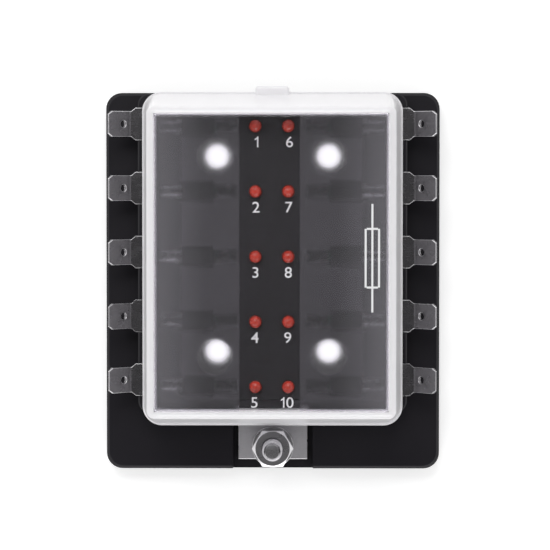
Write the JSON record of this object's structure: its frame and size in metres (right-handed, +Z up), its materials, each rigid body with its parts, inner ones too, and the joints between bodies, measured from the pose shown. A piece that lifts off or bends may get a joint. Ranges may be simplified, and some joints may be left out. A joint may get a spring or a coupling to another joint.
{
  "type": "blade fuse block",
  "caption": "Surface-mounted blade fuse block with a lift-off frosted cover, a lamp at each fuse socket, bent spade outlets on both sides and a threaded feed stud.",
  "frame": {"origin": "centre of the four mounting holes, on the underside of the base", "axes": "+Z up out of the mounting surface, +Y to the back edge with the thumb tab, -Y to the feed stud, +X to the side of circuits 6 to 10"},
  "size_m": [0.0834, 0.0955, 0.037],
  "materials": {
    "black_nylon": "moulded black nylon, fine matt texture",
    "frosted_cover": "frosted polycarbonate with a clear strip",
    "tinned_brass": "tin-plated brass, satin",
    "zinc_steel": "zinc-plated steel",
    "circuit_board": "green solder mask",
    "red_lens": "translucent red lens",
    "resistor_body": "coated"
  },
  "bodies": {
    "block": {"base": "black_nylon", "fuse_carrier": "black_nylon", "busbar": "tinned_brass", "led_board": "circuit_board", "stud": "zinc_steel", "carrier_screws": "zinc_steel", "bus_clip_1": "tinned_brass", "load_terminal_1": "tinned_brass", "led_1": "red_lens", "resistor_1": "resistor_body", "bus_clip_2": "tinned_brass", "load_terminal_2": "tinned_brass", "led_2": "red_lens", "resistor_2": "resistor_body", "bus_clip_3": "tinned_brass", "load_terminal_3": "tinned_brass", "led_3": "red_lens", "resistor_3": "resistor_body", "bus_clip_4": "tinned_brass", "load_terminal_4": "tinned_brass", "led_4": "red_lens", "resistor_4": "resistor_body", "bus_clip_5": "tinned_brass", "load_terminal_5": "tinned_brass", "led_5": "red_lens", "resistor_5": "resistor_body", "bus_clip_6": "tinned_brass", "load_terminal_6": "tinned_brass", "led_6": "red_lens", "resistor_6": "resistor_body", "bus_clip_7": "tinned_brass", "load_terminal_7": "tinned_brass", "led_7": "red_lens", "resistor_7": "resistor_body", "bus_clip_8": "tinned_brass", "load_terminal_8": "tinned_brass", "led_8": "red_lens", "resistor_8": "resistor_body", "bus_clip_9": "tinned_brass", "load_terminal_9": "tinned_brass", "led_9": "red_lens", "resistor_9": "resistor_body", "bus_clip_10": "tinned_brass", "load_terminal_10": "tinned_brass", "led_10": "red_lens", "resistor_10": "resistor_body"},
    "cover": {"cover": "frosted_cover"},
    "washers": {"flat_washer": "zinc_steel", "lock_washer": "zinc_steel"},
    "nut": {"terminal_nut": "zinc_steel"}
  },
  "joints": [
    {"name": "cover_lift", "type": "slide", "parent": "block", "child": "cover", "axis": [0, 0, 1], "range_m": [0, 0.03]},
    {"name": "washer_rise", "type": "slide", "parent": "block", "child": "washers", "axis": [0, 0, 1], "range_m": [0, 0.0048]},
    {"name": "nut_turn", "type": "hinge", "parent": "washers", "child": "nut", "pos_m": [0, -0.04835, 0.0092], "axis": [0, 0, 1], "range_deg": [0, 2160]}
  ],
  "couplings": [
    {"joint": "nut_turn", "follows": "washer_rise", "rad_per_m": 7854}
  ]
}
